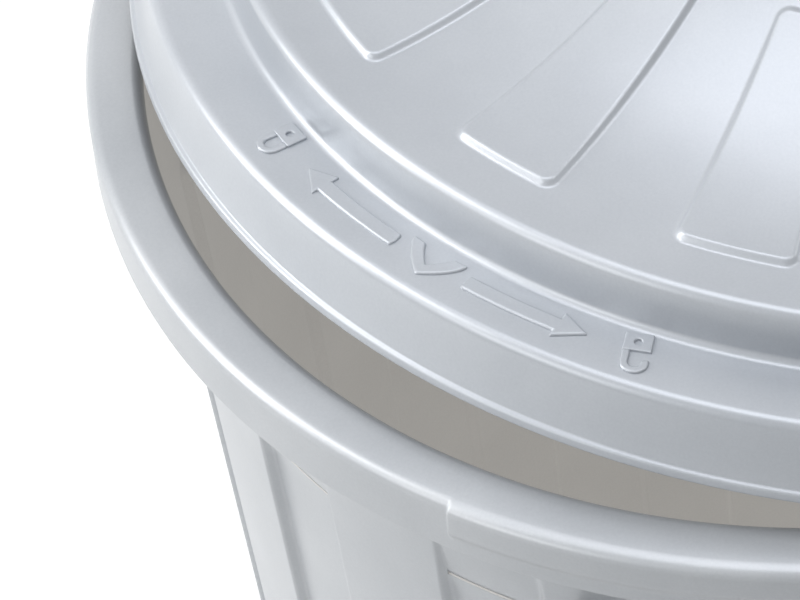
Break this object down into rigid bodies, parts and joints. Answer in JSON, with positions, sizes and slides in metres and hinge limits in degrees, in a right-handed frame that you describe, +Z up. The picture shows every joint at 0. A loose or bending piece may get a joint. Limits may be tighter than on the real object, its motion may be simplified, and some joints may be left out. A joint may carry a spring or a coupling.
{
  "type": "dustbin with lid",
  "caption": "Tall tapered round dustbin with a rolled rim, swinging carry handles and a loose domed twist-lock lid lying askew on top.",
  "frame": {"origin": "middle of the bin's foot, on the ground", "axes": "+Z up, front towards -Y; a lock rail and a carry handle at the front (-Y) and at the rear (+Y)"},
  "size_m": [0.5276, 0.5334, 0.7268],
  "materials": {
    "tub_plastic": "satin moulded polypropylene with metallic silver pigment",
    "lid_plastic": "satin moulded polypropylene with metallic silver pigment",
    "handle_plastic": "fine-grained moulded polypropylene",
    "pin_plastic": "moulded nylon",
    "screw_steel": "zinc-plated steel"
  },
  "bodies": {
    "can": {"can_body": "tub_plastic", "handle_pin_front_left": "pin_plastic", "handle_pin_front_right": "pin_plastic", "handle_pin_rear_left": "pin_plastic", "handle_pin_rear_right": "pin_plastic"},
    "lid": {"lid_shell": "lid_plastic", "lid_handle": "handle_plastic", "lid_handle_screw_left": "screw_steel", "lid_handle_screw_right": "screw_steel", "lid_handle_washer_left": "screw_steel", "lid_handle_washer_right": "screw_steel"},
    "carry_handle_front": {"carry_handle_front": "handle_plastic"},
    "carry_handle_rear": {"carry_handle_rear": "handle_plastic"}
  },
  "joints": [
    {"name": "lid_lift", "type": "slide", "parent": "can", "child": "lid", "axis": [0, 0, 1], "range_m": [0, 0.3]},
    {"name": "carry_handle_front_swing", "type": "hinge", "parent": "can", "child": "carry_handle_front", "pos_m": [0, -0.232, 0.538], "axis": [-1, 0, 0], "range_deg": [0, 90]},
    {"name": "carry_handle_rear_swing", "type": "hinge", "parent": "can", "child": "carry_handle_rear", "pos_m": [0, 0.232, 0.538], "axis": [1, 0, 0], "range_deg": [0, 90]}
  ]
}
